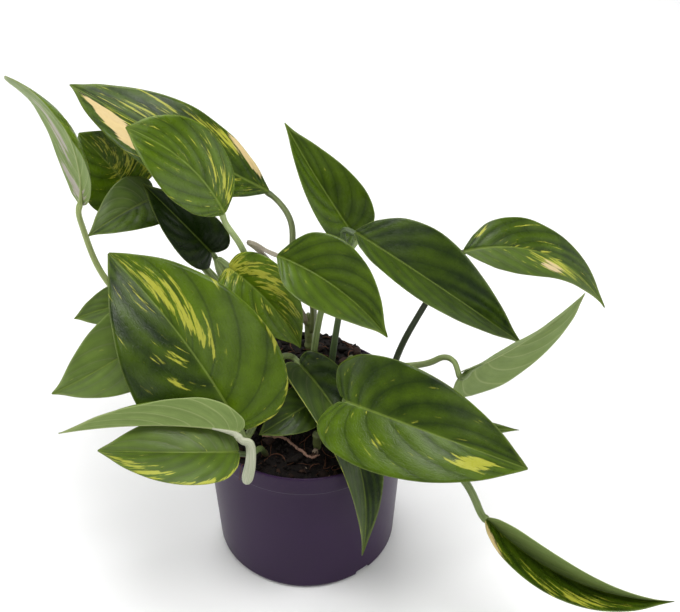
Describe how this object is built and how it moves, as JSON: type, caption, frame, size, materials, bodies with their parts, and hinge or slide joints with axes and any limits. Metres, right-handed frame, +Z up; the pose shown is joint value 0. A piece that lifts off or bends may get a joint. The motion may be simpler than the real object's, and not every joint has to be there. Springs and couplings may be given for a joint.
{
  "type": "potted pothos plant",
  "caption": "Pothos plant with heart-shaped variegated leaves on long stalks, growing from dark soil in a squat purple nursery pot.",
  "frame": {"origin": "centre of the flat underside of the pot, on the surface the plant stands on", "axes": "+Z up; -Y towards the front, where the large heart leaf hangs; +X to the right, where the lowest leaf reaches out"},
  "size_m": [0.3649, 0.1973, 0.3033],
  "materials": {
    "purple_plastic": "satin",
    "potting_soil": "rough, crumbly",
    "root": "matt",
    "vine_stem": "satin",
    "leaf_stalk": "satin",
    "leaf_green": "waxy gloss",
    "leaf_variegated": "waxy gloss",
    "leaf_pale": "satin underside"
  },
  "bodies": {
    "root": {"plant_pot": "purple_plastic", "soil": "potting_soil", "surface_root": "root", "vine_stem_left": "vine_stem", "vine_stem_back": "vine_stem", "vine_stem_right": "vine_stem", "vine_stem_front": "vine_stem", "leaf_top_left": "leaf_pale", "leaf_top_long": "leaf_variegated", "leaf_top_glossy": "leaf_green", "leaf_left_tucked": "leaf_green", "leaf_left_dark": "leaf_green", "leaf_folded_dark": "leaf_green", "leaf_big_front": "leaf_green", "leaf_boat_front": "leaf_pale", "leaf_under_boat": "leaf_green", "leaf_left_olive": "leaf_green", "leaf_left_stub": "leaf_green", "leaf_lime_centre": "leaf_variegated", "leaf_centre": "leaf_green", "leaf_upper_middle": "leaf_green", "leaf_right_long": "leaf_green", "leaf_right_back": "leaf_green", "leaf_right_pale": "leaf_pale", "leaf_heart_front": "leaf_green", "leaf_over_rim": "leaf_green", "leaf_small_olive": "leaf_green", "leaf_bud": "leaf_green", "leaf_right_tip": "leaf_green", "leaf_low_right": "leaf_green", "stalk_top_left": "leaf_stalk", "stalk_top_long": "leaf_stalk", "stalk_top_glossy": "leaf_stalk", "stalk_left_tucked": "leaf_stalk", "stalk_left_dark": "leaf_stalk", "stalk_folded_dark": "leaf_stalk", "stalk_big_front": "leaf_stalk", "stalk_boat_front": "leaf_stalk", "stalk_under_boat": "leaf_stalk", "stalk_left_olive": "leaf_stalk", "stalk_left_stub": "leaf_stalk", "stalk_lime_centre": "leaf_stalk", "stalk_centre": "leaf_stalk", "stalk_upper_middle": "leaf_stalk", "stalk_right_long": "leaf_stalk", "stalk_right_back": "leaf_stalk", "stalk_right_pale": "leaf_stalk", "stalk_heart_front": "leaf_stalk", "stalk_over_rim": "leaf_stalk", "stalk_small_olive": "leaf_stalk", "stalk_bud": "leaf_stalk", "stalk_right_tip": "leaf_stalk", "stalk_low_right": "leaf_stalk"}
  },
  "joints": []
}
